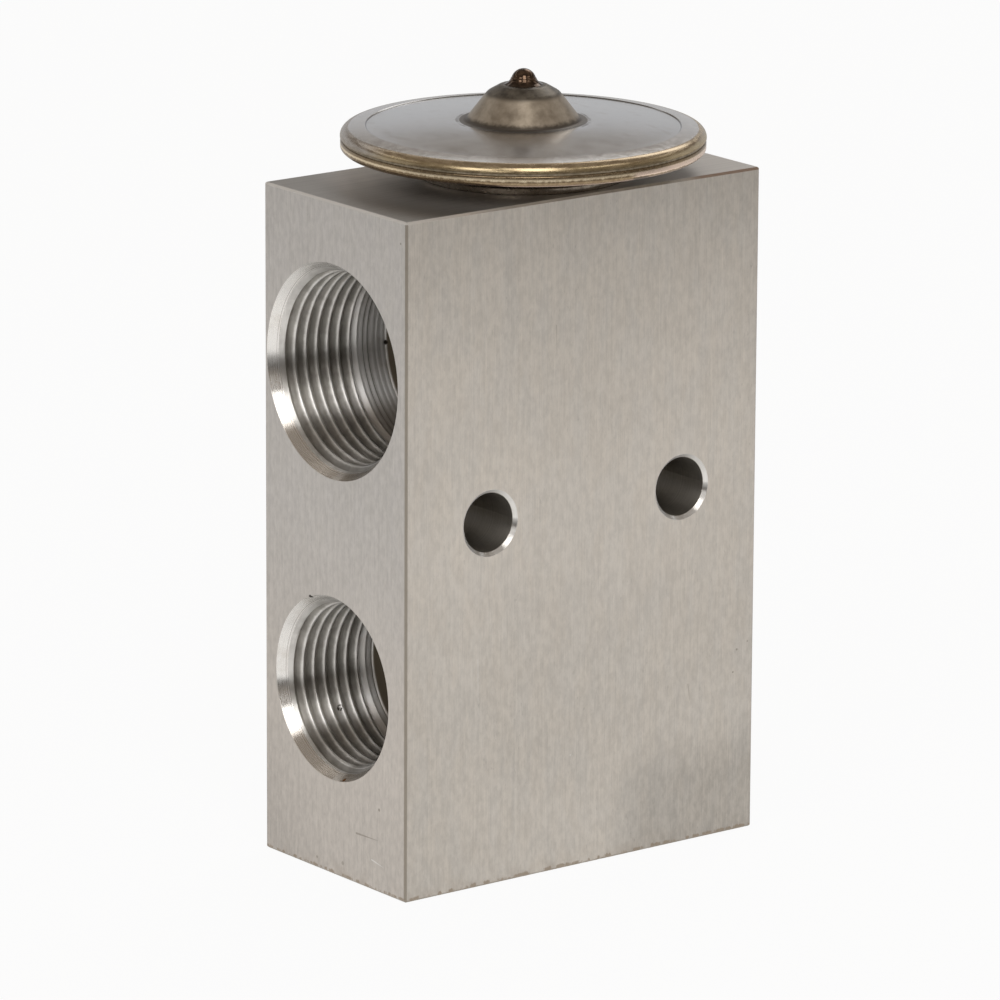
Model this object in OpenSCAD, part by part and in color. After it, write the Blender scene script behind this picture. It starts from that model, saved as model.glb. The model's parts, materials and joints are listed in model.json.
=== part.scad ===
// Block expansion valve: a drilled aluminium block with a diaphragm head screwed into its top.
// Millimetres. The origin is the middle of the block's base, +Z is up, the wide front face is at
// -Y and the face with the two inlet-side ports is at -X.

/* [Block] */
// Width of the block along X
body_w = 47.6; // [46:0.1:60]
// Thickness of the block along Y
body_t = 25.4; // [24.4:0.1:34]
// Height of the block
body_h = 74.2; // [73:0.1:90]
// Bevel on the four upright edges
edge_bevel = 0.25; // [0.2:0.05:1.2]
// Bevel round the top and bottom faces
end_bevel = 0.25; // [0.1:0.05:0.6]

/* [Ports] */
// Height of the vapour passage above the mounting holes
vapour_rise = 15.55; // [15.2:0.05:18]
// Depth of the liquid inlet port below the mounting holes
liquid_drop = 19.35; // [18:0.05:20]
// Distance of the port axes behind the middle plane
port_y = 0.5; // [0:0.05:0.8]
// Thread diameter of the two vapour ports
vapour_thread_d = 22.2; // [21:0.05:22.6]
// Thread diameter of the liquid inlet and outlet ports
liquid_thread_d = 19.05; // [17:0.05:19.6]
// Depth of a vapour port up to its pilot bore
vapour_port_depth = 14.7; // [12:0.1:14.9]
// Depth of a liquid port up to its pilot bore
liquid_port_depth = 11.8; // [10:0.1:12.4]
// Radial room of the chamfered port mouth outside its thread
mouth_room = 0.66; // [0.3:0.02:0.8]
// Depth at which the thread starts
thread_start = 1.1; // [0.8:0.1:1.6]
// Depth at which the full thread ends
thread_end = 10.1; // [8:0.1:10.4]
// Height of the thread, which the plain bore behind it stands inside its wall
thread_height = 0.76; // [0.6:0.02:0.9]
// Diameter of the pilot bore behind a vapour port
vapour_pilot_d = 17.5; // [16.6:0.1:19]
// Diameter of the pilot bore behind a liquid port
liquid_pilot_d = 14.4; // [13:0.1:15.5]
// Length of each pilot bore
pilot_length = 2.6; // [1.5:0.1:3]
// Diameter of the vapour passage
vapour_passage_d = 16; // [14:0.1:16.4]
// Diameter of the drilling from the inlet port to the valve chamber
inlet_drill_d = 5; // [3.5:0.1:5.6]
// Diameter of the drilling from the orifice to the outlet port
outlet_drill_d = 6; // [4.5:0.1:6.6]
// Height of the outlet drilling above its port axis
outlet_lift = 2.5; // [1:0.1:3.5]

/* [Mounting holes] */
// Diameter of the two through holes
hole_d = 6.5; // [5.5:0.1:7]
// Distance between the two holes
hole_pitch = 26; // [24:0.1:28]
// Height of the holes above the base
hole_z = 40.15; // [39.6:0.05:41.5]
// Sideways place of the middle of the pair
hole_mid_x = 0.4; // [-0.5:0.1:1.5]
// Bevel at each end of a hole
hole_bevel = 0.4; // [0.1:0.05:0.7]

/* [Stem] */
// Sideways place of the stem axis
stem_x = 1.3; // [0:0.1:2]
// Travel of the stem from closed to fully open
stem_travel = 0.8; // [0.4:0.05:1]
// Height of the valve seat above the base
seat_z = 21.4; // [21:0.05:22]
// Diameter of the orifice
orifice_d = 4; // [3.4:0.1:4.4]
// Length of the orifice
orifice_length = 4.1; // [3:0.1:4.6]
// Height of the conical seat
seat_depth = 0.8; // [0.5:0.05:1]
// Diameter of the valve ball
ball_d = 6; // [5.6:0.1:6.4]
// Diameter of the push pin
pin_d = 2.4; // [1.6:0.1:2.8]
// How far the push pin goes into the sensing rod
pin_grip = 4; // [2:0.1:6]
// Diameter of the sensing rod
rod_d = 5.6; // [4.6:0.1:6]
// Length of the guide bore under the rod seal
rod_guide = 3; // [2:0.1:4]
// Wire diameter of the rod seal ring
rod_seal_wire = 1.8; // [1.2:0.05:2]
// Thickness of the push-on retainer above the rod seal
retainer_t = 0.5; // [0.3:0.05:0.8]
// Number of teeth on the retainer
retainer_teeth = 8; // [5:1:10]

/* [Ball carrier and springs] */
// Diameter of the valve chamber
chamber_d = 12.6; // [12.2:0.1:13.4]
// Diameter of the carrier flange
carrier_d = 10.6; // [9.8:0.1:11]
// Diameter of the cup that holds the ball
cup_d = 8; // [7.4:0.1:8.8]
// Thickness of the carrier flange
flange_t = 1.2; // [0.8:0.05:1.6]
// Length of the spigot inside the spring
spigot_length = 1.9; // [1:0.1:2.4]
// Sheet thickness of the damper spring
damper_t = 0.3; // [0.2:0.05:0.4]
// Number of arms on the damper spring
damper_arms = 3; // [3:1:4]
// Height of the damper arms
damper_rise = 2.3; // [1.5:0.1:2.6]
// Mean diameter of the superheat spring
spring_d = 7.2; // [7:0.1:7.4]
// Wire diameter of the superheat spring
spring_wire = 1.1; // [0.8:0.05:1.2]
// Number of turns of the superheat spring
spring_turns = 5; // [4:0.5:5.5]

/* [Adjusting screw] */
// Thread diameter of the adjusting screw
screw_d = 14; // [13.6:0.1:15]
// Depth of the screw below the base when it is backed out
screw_recess = 0.8; // [0.4:0.1:1.2]
// Length of the screw thread
screw_thread_length = 4; // [3:0.1:4.4]
// Length of the plain land above the thread
screw_land_length = 5.2; // [4.8:0.1:5.6]
// Travel of the screw from backed out to tight
screw_travel = 2; // [1:0.5:2]
// Width across flats of the hexagon socket
socket_af = 6; // [5:0.5:7]
// Depth of the hexagon socket
socket_depth = 3; // [2:0.1:3.2]
// Thickness of the web between the socket and the spring pocket
socket_web = 1.4; // [1:0.1:1.8]
// Wire diameter of the screw seal ring
screw_seal_wire = 1.2; // [1:0.05:1.3]

/* [Head] */
// Diameter of the head over the upper cover
head_d = 39.34; // [36:0.02:42]
// How much smaller the lower cover is in radius
lower_step = 0.04; // [0:0.02:0.4]
// Height of the rim seam above the block
seam_rise = 3.75; // [3.5:0.05:5]
// Thickness of the lower cover at the rim
lower_rim_t = 1.2; // [0.8:0.05:1.4]
// Diameter of the shoulder that sits on the block
hub_d = 23; // [22.6:0.1:24.4]
// Height of the shoulder
hub_h = 0.8; // [0.5:0.05:1]
// Thickness of the floor of the lower cover
hub_floor = 1.65; // [1.4:0.05:1.8]
// Thread diameter of the neck
neck_d = 18; // [16:0.1:18.4]
// Length of the neck
neck_length = 6.8; // [5.5:0.1:7]
// Bore through the neck
neck_bore_d = 8.8; // [7:0.1:10]
// Wire diameter of the head seal ring
head_seal_wire = 1.5; // [1.2:0.05:1.8]
// Thickness of the diaphragm
diaphragm_t = 0.2; // [0.1:0.05:0.25]
// Rise of the flat middle of the diaphragm when the valve is closed
diaphragm_rise = 0.2; // [0.1:0.05:0.25]
// Height of the ring wave in the diaphragm
diaphragm_wave = 0.25; // [0.1:0.05:0.3]
// Diameter of the pad under the diaphragm
pad_d = 17; // [14:0.1:18]
// Thickness of the pad
pad_t = 1.2; // [1:0.05:1.3]
// Sheet thickness of the upper cover
cover_t = 0.9; // [0.7:0.05:1]
// Height of the outer ring of the upper cover above its seam
ring_rise = 1.3; // [1.2:0.02:1.5]
// Width of the outer ring of the upper cover
ring_w = 2.69; // [2:0.01:3.2]
// Fall of the outer ring from its inner edge to its corner
ring_fall = 0.25; // [0.1:0.01:0.35]
// Depth of the step inside the outer ring
ring_step = 0.1; // [0.05:0.01:0.2]
// Upright part of the rim below its bend
rim_foot = 0.1; // [0.05:0.01:0.2]
// Rise of the cover from the ring step to the foot of the dome
crown_rise = 0.68; // [0.5:0.02:1.2]
// Diameter of the dome at its foot
dome_d = 12.1; // [10:0.1:13]
// Radius of the fillet round the foot of the dome
dome_fillet = 0.9; // [0.4:0.05:1]
// Height of the dome
dome_h = 3.85; // [3.2:0.05:4.6]
// Diameter of the dome where its shoulder starts
shoulder_d = 7.6; // [7:0.1:8.4]
// Height at which the shoulder starts
shoulder_h = 2.9; // [2.4:0.05:3]
// Diameter of the flat on top of the dome
dome_top_d = 4.4; // [4:0.05:5]
// Diameter of the ball tip on the charge plug
charge_ball_d = 2.72; // [2.4:0.02:3]
// Height of the charge plug above the top of the dome
charge_ball_lift = 1.72; // [1.6:0.02:2]
// Diameter of the charge hole under the plug
charge_hole_d = 2; // [1.2:0.1:2.2]

/* [Fits] */
// Radial clearance of a piece that slides or turns in a bore
slide_fit = 0.05; // [0.03:0.01:0.1]
// Radial clearance of the screw land, which the seal ring centres
land_fit = 0.1; // [0.06:0.01:0.15]
// Clearance of a piece that is fixed in its seat
seat_fit = 0.02; // [0.01:0.01:0.04]

/* [Hidden] */
$fn = 96;
cut = 1;
arc_steps = 6;

// Heights along the stem axis, from the seat downwards
vapour_z = hole_z + vapour_rise;
liquid_z = hole_z - liquid_drop;
orifice_r = orifice_d / 2;
ball_r = ball_d / 2;
ball_z = orifice_r + seat_z - sqrt(2) * (ball_r + slide_fit);
chamber_top_z = seat_z - seat_depth;
cup_top_z = ball_z - 0.43 * ball_r;
flange_top_z = ball_z - 1.1 * ball_r;
flange_z = flange_top_z - flange_t;
spigot_z = flange_z - spigot_length;
inlet_drill_z = ball_z - 0.7 * ball_r;
land_fillet = 0.3;

// Heights along the stem axis, from the seat upwards
outlet_drill_z = seat_z + orifice_length + outlet_drill_d / 2;
outlet_z = outlet_drill_z - outlet_lift;
seal_cup_d = rod_d + 2 * rod_seal_wire + 4 * slide_fit;
seal_cup_depth = rod_seal_wire + retainer_t + 1.4;
seal_cup_z = vapour_z - vapour_passage_d / 2 - seal_cup_depth;
rod_guide_z = seal_cup_z - rod_guide;
rod_z = rod_guide_z + stem_travel + 0.6;
retainer_z = seal_cup_z + rod_seal_wire + 3 * slide_fit;

// Adjusting screw, from the base upwards
screw_bore_d = chamber_d;
screw_thread_z = screw_recess + screw_thread_length;
screw_top_z = screw_thread_z + screw_land_length;
tapped_depth = screw_thread_z + screw_travel + 0.2;
pocket_z = screw_recess + socket_depth + socket_web;
pocket_d = spring_d + spring_wire + 0.5;
land_d = screw_bore_d - 2 * land_fit;
groove_w = screw_seal_wire + 0.3;
groove_z = tapped_depth + 0.4;
groove_d = screw_bore_d - 2 * screw_seal_wire - 4 * slide_fit;

// Head, from the block upwards
head_r = head_d / 2;
seam_z = body_h + seam_rise;
cover_z = seam_z + diaphragm_t;
lower_r = head_r - lower_step;
diaphragm_r = lower_r - 0.15;
neck_bore_z = body_h - neck_length - 0.2;
head_seal_room = head_seal_wire + 0.4;
head_seal_depth = head_seal_wire + 0.05;
floor_z = body_h + hub_floor;
pad_z = seam_z + diaphragm_rise - pad_t;
pad_socket = 0.5;
clamp_r = head_r - 3.4;
ring_r = head_r - ring_w;
ring_z = cover_z + ring_rise;
rim_round = ring_z - ring_fall - cover_z - rim_foot;
dish_z = ring_z - ring_step;
dome_r = dome_d / 2;
dome_z = dish_z + crown_rise;
dome_top_z = dome_z + dome_h;

// Points of an arc about (x, y), from angle a to angle b
function arc(x, y, r, a, b, n = arc_steps) =
    [for (i = [0:n]) let (t = a + (b - a) * i / n) [x + r * cos(t), y + r * sin(t)]];

// Outer line of the upper cover, from the rim to the top of the dome
function cover_outside() = concat(
    [[head_r - 0.2, cover_z]],
    arc(head_r - rim_round, cover_z + rim_foot, rim_round, 0, 82),
    [[ring_r, ring_z], [ring_r - 0.12, dish_z]],
    arc(dome_r + dome_fillet, dome_z + dome_fillet * 0.9, dome_fillet, 270, 222),
    [[shoulder_d / 2, dome_z + shoulder_h]],
    arc_between(shoulder_d / 2, dome_z + shoulder_h, dome_top_d / 2, dome_top_z));

// A rounded shoulder from a steep side to a nearly level top
function arc_between(r1, z1, r2, z2) =
    [for (i = [1:arc_steps]) let (t = 90 * i / arc_steps)
        [r2 + (r1 - r2) * cos(t), z1 + (z2 - z1) * sin(t)]];

// Lift of the diaphragm above its rim at radius r
function diaphragm_lift(r) =
    let (a = pad_d / 2 + 0.6)
    r <= a ? diaphragm_rise :
    r >= clamp_r ? 0 :
    let (t = (r - a) / (clamp_r - a))
    diaphragm_rise * (1 - t) + diaphragm_wave * sin(180 * t);

// Point of a spring wire at turn t, with closed end turns
function spring_height(t, n, h, wire) =
    let (end = 1)
    t < end ? wire * t :
    t > n - end ? h - wire * (n - t) :
    wire * end + (h - 2 * wire * end) * (t - end) / (n - 2 * end);

module at_stem() {
    translate([stem_x, 0, 0]) children();
}

// A solid of revolution about the X axis, from a profile of [radius, depth] points
module turned_x(points) {
    rotate([0, 90, 0]) rotate_extrude() polygon(points);
}

// Cutter for one threaded port, drilled along +X from x = 0
module port(thread_d, depth, pilot_d) {
    r = thread_d / 2;
    bore_r = r - thread_height;
    pilot_r = pilot_d / 2;
    slope = mouth_room / thread_start;
    turned_x([
        [0, -cut],
        [r + mouth_room + slope * cut, -cut],
        [r, thread_start],
        [r, thread_end],
        [bore_r, thread_end + thread_height],
        [bore_r, depth],
        [pilot_r, depth + (bore_r - pilot_r) / 2],
        [pilot_r, depth + pilot_length],
        [0, depth + pilot_length]
    ]);
}

// Block blank with bevelled edges
module blank() {
    b = edge_bevel;
    e = end_bevel;
    w = body_w / 2;
    t = body_t / 2;
    intersection() {
        linear_extrude(body_h) polygon([[-w + b, -t], [w - b, -t], [w, -t + b], [w, t - b],
            [w - b, t], [-w + b, t], [-w, t - b], [-w, -t + b]]);
        translate([0, t + cut, 0]) rotate([90, 0, 0]) linear_extrude(body_t + 2 * cut)
            polygon([[-w + e, 0], [w - e, 0], [w, e], [w, body_h - e],
                [w - e, body_h], [-w + e, body_h], [-w, body_h - e], [-w, e]]);
        translate([-w - cut, 0, 0]) rotate([90, 0, 90]) linear_extrude(body_w + 2 * cut)
            polygon([[-t + e, 0], [t - e, 0], [t, e], [t, body_h - e],
                [t - e, body_h], [-t + e, body_h], [-t, body_h - e], [-t, e]]);
    }
}

// Through hole along Y with a bevel at both ends
module mounting_hole() {
    r = hole_d / 2;
    h = body_t / 2;
    b = hole_bevel;
    rotate([90, 0, 0]) rotate_extrude() polygon([
        [0, -h - cut],
        [r + b + cut, -h - cut],
        [r, -h + b],
        [r, h - b],
        [r + b + cut, h + cut],
        [0, h + cut]
    ]);
}

// Everything that is bored along the stem axis from below
module chamber_cut() {
    tapped_r = screw_d / 2;
    chamber_r = chamber_d / 2;
    rotate_extrude() polygon([
        [0, -cut],
        [tapped_r + 0.5 + cut, -cut],
        [tapped_r, 0.5],
        [tapped_r, tapped_depth],
        [chamber_r, tapped_depth + (tapped_r - chamber_r) / 2],
        [chamber_r, chamber_top_z],
        [orifice_r + seat_depth, chamber_top_z],
        [orifice_r, seat_z],
        [orifice_r, outlet_drill_z],
        [0, outlet_drill_z]
    ]);
}

// Everything that is bored along the stem axis from above
module stem_cut() {
    neck_r = neck_d / 2;
    seal_r = neck_r + head_seal_room;
    cup_r = seal_cup_d / 2;
    rotate_extrude() polygon([
        [0, body_h + cut],
        [seal_r, body_h + cut],
        [seal_r, body_h - head_seal_depth],
        [neck_r, body_h - head_seal_depth],
        [neck_r, neck_bore_z],
        [neck_bore_d / 2 + 1, neck_bore_z],
        [neck_bore_d / 2 + 1, vapour_z],
        [cup_r, vapour_z],
        [cup_r, seal_cup_z],
        [rod_d / 2 + slide_fit, seal_cup_z],
        [rod_d / 2 + slide_fit, rod_guide_z],
        [pin_d / 2 + slide_fit, rod_guide_z],
        [pin_d / 2 + slide_fit, outlet_drill_z],
        [0, outlet_drill_z]
    ]);
}

module valve_body() {
    w = body_w / 2;
    color([0.68, 0.66, 0.63]) difference() {
        blank();
        translate([-w, port_y, vapour_z]) port(vapour_thread_d, vapour_port_depth, vapour_pilot_d);
        translate([w, port_y, vapour_z]) mirror([1, 0, 0])
            port(vapour_thread_d, vapour_port_depth, vapour_pilot_d);
        translate([-w, port_y, liquid_z]) port(liquid_thread_d, liquid_port_depth, liquid_pilot_d);
        translate([w, port_y, outlet_z]) mirror([1, 0, 0])
            port(liquid_thread_d, liquid_port_depth, liquid_pilot_d);
        translate([-w + cut, port_y, vapour_z]) rotate([0, 90, 0])
            cylinder(h = body_w - 2 * cut, d = vapour_passage_d);
        translate([-w + cut, port_y, inlet_drill_z]) rotate([0, 90, 0])
            cylinder(h = w + stem_x - cut, d = inlet_drill_d);
        translate([stem_x - outlet_drill_d / 2 - 0.2, port_y, outlet_drill_z]) rotate([0, 90, 0])
            cylinder(h = w - stem_x, d = outlet_drill_d);
        at_stem() chamber_cut();
        at_stem() stem_cut();
        for (side = [-1, 1])
            translate([hole_mid_x + side * hole_pitch / 2, 0, hole_z]) mounting_hole();
    }
}

// Pressed lower cover with its threaded neck
module lower_cover() {
    neck_r = neck_d / 2 - slide_fit;
    hub_r = hub_d / 2;
    bore_r = neck_bore_d / 2;
    bottom = body_h - neck_length;
    under = seam_z - lower_rim_t;
    color([0.72, 0.67, 0.58]) at_stem() rotate_extrude() polygon([
        [bore_r, bottom],
        [neck_r - 0.6, bottom],
        [neck_r, bottom + 0.6],
        [neck_r, body_h],
        [hub_r, body_h],
        [hub_r, body_h + hub_h],
        [lower_r - 1.9, under - 0.1],
        [lower_r - 0.45, under],
        [lower_r - 0.12, under + 0.15],
        [lower_r, under + 0.45],
        [lower_r, seam_z - 0.15],
        [lower_r - 0.15, seam_z],
        [clamp_r, seam_z],
        [clamp_r - 1.2, seam_z - 0.25],
        [pad_d / 2 + 1, floor_z + 0.1],
        [pad_d / 2 + 0.5, floor_z],
        [bore_r + 0.4, floor_z],
        [bore_r, floor_z - 0.4]
    ]);
}

// Pressed upper cover with a drawn dome and the charge hole in its top
module upper_cover() {
    hole_r = charge_hole_d / 2;
    color([0.76, 0.75, 0.74]) at_stem() rotate_extrude() polygon(concat(
        [[clamp_r, cover_z]],
        cover_outside(),
        [
            [hole_r, dome_top_z],
            [hole_r, dome_top_z - cover_t],
            [dome_top_d / 2 - 0.3, dome_top_z - cover_t],
            [shoulder_d / 2 - cover_t, dome_z + shoulder_h - 0.35],
            [dome_r - cover_t - 0.1, dome_z - cover_t + 0.5],
            [dome_r - 0.2, dome_z - cover_t],
            [ring_r - 0.12, dish_z - cover_t]
        ]));
}

// Corrugated diaphragm, clamped in the rim seam
module diaphragm() {
    radii = concat([0], [for (i = [0:16]) pad_d / 2 + 0.6 + (clamp_r - pad_d / 2 - 0.6) * i / 16],
        [diaphragm_r]);
    last = len(radii) - 1;
    color([0.8, 0.8, 0.78]) at_stem() rotate_extrude() polygon(concat(
        [for (r = radii) [r, seam_z + diaphragm_lift(r)]],
        [for (i = [0:last]) let (r = radii[last - i]) [r, cover_z + diaphragm_lift(r)]]));
}

// Plug welded into the charge hole: a spigot, a flared foot and a ball tip
module charge_plug() {
    r = charge_ball_d / 2;
    ball_z = dome_top_z + charge_ball_lift - r;
    foot_r = dome_top_d / 2 - 0.15;
    z = dome_top_z + seat_fit;
    flare = foot_r - r;
    color([0.62, 0.48, 0.38]) at_stem() rotate_extrude() polygon(concat(
        [
            [0, dome_top_z - cover_t],
            [charge_hole_d / 2 - seat_fit, dome_top_z - cover_t],
            [charge_hole_d / 2 - seat_fit, z],
            [foot_r, z],
            [foot_r - flare * 0.48, z + flare * 0.28],
            [foot_r - flare * 0.84, z + flare * 0.64],
            [r, z + flare]
        ],
        arc(0, ball_z, r, 18, 90, 2 * arc_steps)));
}

// Pad that passes the diaphragm's force to the rod
module diaphragm_pad() {
    r = pad_d / 2;
    top = pad_z + pad_t;
    color([0.8, 0.72, 0.45]) at_stem() rotate_extrude() polygon([
        [0, pad_z + pad_socket],
        [rod_d / 2 + seat_fit, pad_z + pad_socket],
        [rod_d / 2 + seat_fit, pad_z],
        [r - 1.2, pad_z],
        [r - 0.3, pad_z + 0.5],
        [r, top - 0.4],
        [r - 0.3, top],
        [0, top]
    ]);
}

// Seal ring with its inner edge at radius inner_r, resting on height z
module seal_ring(inner_r, wire, z) {
    translate([0, 0, z + wire / 2]) rotate_extrude()
        translate([inner_r + wire / 2, 0]) circle(d = wire, $fn = 32);
}

module head_seal() {
    inner = neck_d / 2 + (head_seal_room - head_seal_wire) / 2;
    color([0.12, 0.12, 0.13]) at_stem()
        seal_ring(inner, head_seal_wire - 0.01, body_h - head_seal_depth + 0.02);
}

// Rod that reaches from the pad across the vapour passage to its guide
module sensing_rod() {
    r = rod_d / 2;
    top = pad_z + pad_socket;
    color([0.75, 0.74, 0.72]) at_stem() rotate_extrude() polygon([
        [0, rod_z + pin_grip],
        [pin_d / 2 + seat_fit, rod_z + pin_grip],
        [pin_d / 2 + seat_fit, rod_z],
        [r - 0.4, rod_z],
        [r, rod_z + 0.4],
        [r, top - 0.2],
        [r - 0.2, top],
        [0, top]
    ]);
}

module push_pin() {
    bottom = ball_z + ball_r + seat_fit;
    color([0.78, 0.78, 0.78]) at_stem() translate([0, 0, bottom])
        cylinder(h = rod_z + pin_grip - seat_fit - bottom, d = pin_d);
}

module rod_seal() {
    color([0.12, 0.12, 0.13]) at_stem()
        seal_ring(rod_d / 2 + slide_fit, rod_seal_wire, seal_cup_z + slide_fit);
}

// Push-on retainer, a thin ring with slots that leave its gripping teeth
module rod_retainer() {
    outer = seal_cup_d / 2 - seat_fit;
    inner = rod_d / 2 + 4 * slide_fit;
    color([0.6, 0.6, 0.62]) at_stem() translate([0, 0, retainer_z]) difference() {
        cylinder(h = retainer_t, r = outer);
        translate([0, 0, -cut]) cylinder(h = retainer_t + 2 * cut, r = inner);
        for (i = [0:retainer_teeth - 1]) rotate([0, 0, 360 * i / retainer_teeth])
            translate([outer - 0.6, -0.4, -cut]) cube([1, 0.8, retainer_t + 2 * cut]);
    }
}

module valve_ball() {
    color([0.8, 0.8, 0.8]) at_stem() translate([0, 0, ball_z]) sphere(d = ball_d);
}

// Cup that carries the ball on the spring
module ball_carrier() {
    seat_r = sqrt(2) * (ball_r + seat_fit);
    tip_r = 0.6;
    cup_r = cup_d / 2;
    spigot_r = (spring_d - spring_wire) / 2 - 0.3;
    color([0.7, 0.62, 0.4]) at_stem() rotate_extrude() polygon([
        [0, ball_z - seat_r + tip_r],
        [tip_r, ball_z - seat_r + tip_r],
        [cup_top_z - ball_z + seat_r, cup_top_z],
        [cup_r, cup_top_z],
        [cup_r, flange_top_z],
        [carrier_d / 2, flange_top_z],
        [carrier_d / 2, flange_z],
        [spigot_r, flange_z],
        [spigot_r, spigot_z + 0.4],
        [spigot_r - 0.4, spigot_z],
        [0, spigot_z]
    ]);
}

// Leaf ring on the carrier whose arms rub on the chamber wall
module damper_spring() {
    ring_in = cup_d / 2 + 2 * slide_fit;
    ring_out = carrier_d / 2;
    arm_r = chamber_d / 2 - 3 * slide_fit;
    z = flange_top_z + seat_fit;
    color([0.72, 0.7, 0.6]) at_stem() {
        translate([0, 0, z]) difference() {
            cylinder(h = damper_t, r = ring_out);
            translate([0, 0, -cut]) cylinder(h = damper_t + 2 * cut, r = ring_in);
        }
        for (i = [0:damper_arms - 1]) rotate([0, 0, 360 * i / damper_arms])
            rotate_extrude(angle = 40) polygon([
                [ring_out - 0.6, z],
                [ring_out, z],
                [arm_r, z + damper_rise],
                [arm_r - damper_t, z + damper_rise]
            ]);
    }
}

// Coil spring with closed ends, swept as rings of points along its helix
module superheat_spring() {
    sides = 10;
    steps = 22;
    bottom = pocket_z + slide_fit + spring_wire / 2;
    height = flange_z - slide_fit - spring_wire / 2 - bottom;
    rings = spring_turns * steps;
    points = [for (i = [0:rings]) let (
            t = i / steps,
            a = 360 * t,
            z = bottom + spring_height(t, spring_turns, height, spring_wire))
        for (k = [0:sides - 1]) let (
            b = 360 * k / sides,
            r = spring_d / 2 + spring_wire / 2 * cos(b))
        [r * cos(a), r * sin(a), z + spring_wire / 2 * sin(b)]];
    faces = concat(
        [[for (k = [0:sides - 1]) k]],
        [for (i = [0:rings - 1]) for (k = [0:sides - 1]) let (n = (k + 1) % sides)
            [i * sides + k, (i + 1) * sides + k, (i + 1) * sides + n, i * sides + n]],
        [[for (k = [0:sides - 1]) rings * sides + sides - 1 - k]]);
    color([0.6, 0.6, 0.6]) at_stem() polyhedron(points, faces);
}

// Screw that sets the preload, with a hexagon socket below and the spring pocket above
module adjusting_screw() {
    r = screw_d / 2 - slide_fit;
    land_r = land_d / 2;
    groove_r = groove_d / 2;
    color([0.75, 0.66, 0.42]) at_stem() difference() {
        rotate_extrude() polygon([
            [0, screw_recess],
            [r - 0.5, screw_recess],
            [r, screw_recess + 0.5],
            [r, screw_thread_z - 0.5],
            [r - 0.5, screw_thread_z],
            [land_r, screw_thread_z],
            [land_r, groove_z],
            [groove_r, groove_z],
            [groove_r, groove_z + groove_w],
            [land_r, groove_z + groove_w],
            [land_r, screw_top_z - land_fillet],
            [land_r - land_fillet, screw_top_z],
            [pocket_d / 2, screw_top_z],
            [pocket_d / 2, pocket_z],
            [0, pocket_z]
        ]);
        translate([0, 0, screw_recess - cut])
            cylinder(h = socket_depth + cut, d = socket_af / cos(30), $fn = 6);
    }
}

module screw_seal() {
    color([0.12, 0.12, 0.13]) at_stem()
        seal_ring(groove_d / 2 + slide_fit, screw_seal_wire, groove_z + 0.15);
}

valve_body();
lower_cover();
upper_cover();
diaphragm();
charge_plug();
diaphragm_pad();
head_seal();
sensing_rod();
push_pin();
rod_seal();
rod_retainer();
valve_ball();
ball_carrier();
damper_spring();
superheat_spring();
adjusting_screw();
screw_seal();
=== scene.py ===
import json
import math

import bpy
from mathutils import Matrix, Vector

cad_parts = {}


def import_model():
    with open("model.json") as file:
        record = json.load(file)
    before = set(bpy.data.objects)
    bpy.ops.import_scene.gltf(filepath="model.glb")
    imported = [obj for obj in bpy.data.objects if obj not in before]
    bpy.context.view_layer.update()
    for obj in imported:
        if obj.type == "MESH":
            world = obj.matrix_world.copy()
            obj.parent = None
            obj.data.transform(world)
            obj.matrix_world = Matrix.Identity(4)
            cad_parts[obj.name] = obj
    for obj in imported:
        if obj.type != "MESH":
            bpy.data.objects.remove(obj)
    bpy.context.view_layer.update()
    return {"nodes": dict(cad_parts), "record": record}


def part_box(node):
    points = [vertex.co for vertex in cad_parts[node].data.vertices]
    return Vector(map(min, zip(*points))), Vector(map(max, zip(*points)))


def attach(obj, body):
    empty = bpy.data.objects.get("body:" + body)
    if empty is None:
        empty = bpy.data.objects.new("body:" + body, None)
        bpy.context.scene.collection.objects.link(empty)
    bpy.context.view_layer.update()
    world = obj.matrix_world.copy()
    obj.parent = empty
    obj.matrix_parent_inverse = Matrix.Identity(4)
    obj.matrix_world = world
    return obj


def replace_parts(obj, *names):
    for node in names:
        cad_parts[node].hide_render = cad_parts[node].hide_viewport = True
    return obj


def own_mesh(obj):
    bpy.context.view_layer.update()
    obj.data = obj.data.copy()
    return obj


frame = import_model()

MM = 0.001
mounts = {m["name"]: m for m in frame["record"]["mounts"]}

# Camera at the photo's angle, in millimetres and degrees
CAMERA_AZIMUTH = -37.510
CAMERA_ELEVATION = 14.556
CAMERA_ROLL = 0.301
CAMERA_DISTANCE = 820.203
CAMERA_AIM = (-0.851, 0.959, 38.034)
LENS = 272.31
SENSOR = 36.0

# Turned surfaces: how strongly reflections fan out, and the furrows' pitch and depth in millimetres
TURNED = 0.95
MARK_PITCH = 0.72
MARK_DEPTH = 0.045

# Painted pool of light that metal sees on the floor: its glow near and far, and in millimetres where it
# changes
FLOOR_NEAR = 1.08
FLOOR_FAR = 0.16
FLOOR_BRIGHT = 200.0
FLOOR_DARK = 420.0
FLOOR_BEHIND = 0.85
FLOOR_BACK = 0.58

# How much of the floor glows, as the painted pool of light for metal and as plain white for the eye, and its
# size in metres
FLOOR_METAL = 0.80
FLOOR_WHITE = 0.94
FLOOR_REACH = 3.0
FLOOR_GAP = 0.00005

# What metal sees of the room. Heights run from 0 at the horizon to 1 overhead
SWEEP_TOP = 0.25
ROOM_LOW = (0.10, 0.093, 0.086, 1)
ROOM_MIDDLE = (0.27, 0.24, 0.21, 1)
ROOM_TOP = (0.34, 0.305, 0.27, 1)
ROOM_BEHIND = (0.57, 0.575, 0.59, 1)
ROOM_STRIP = (1.25, 1.25, 1.25, 1)
STRIP_LOW = 0.50
STRIP_HIGH = 0.58

# Lamps, in metres
LAMP_DISTANCE = 0.9
LAMP_TARGET = (0, 0, 0.045)

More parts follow.
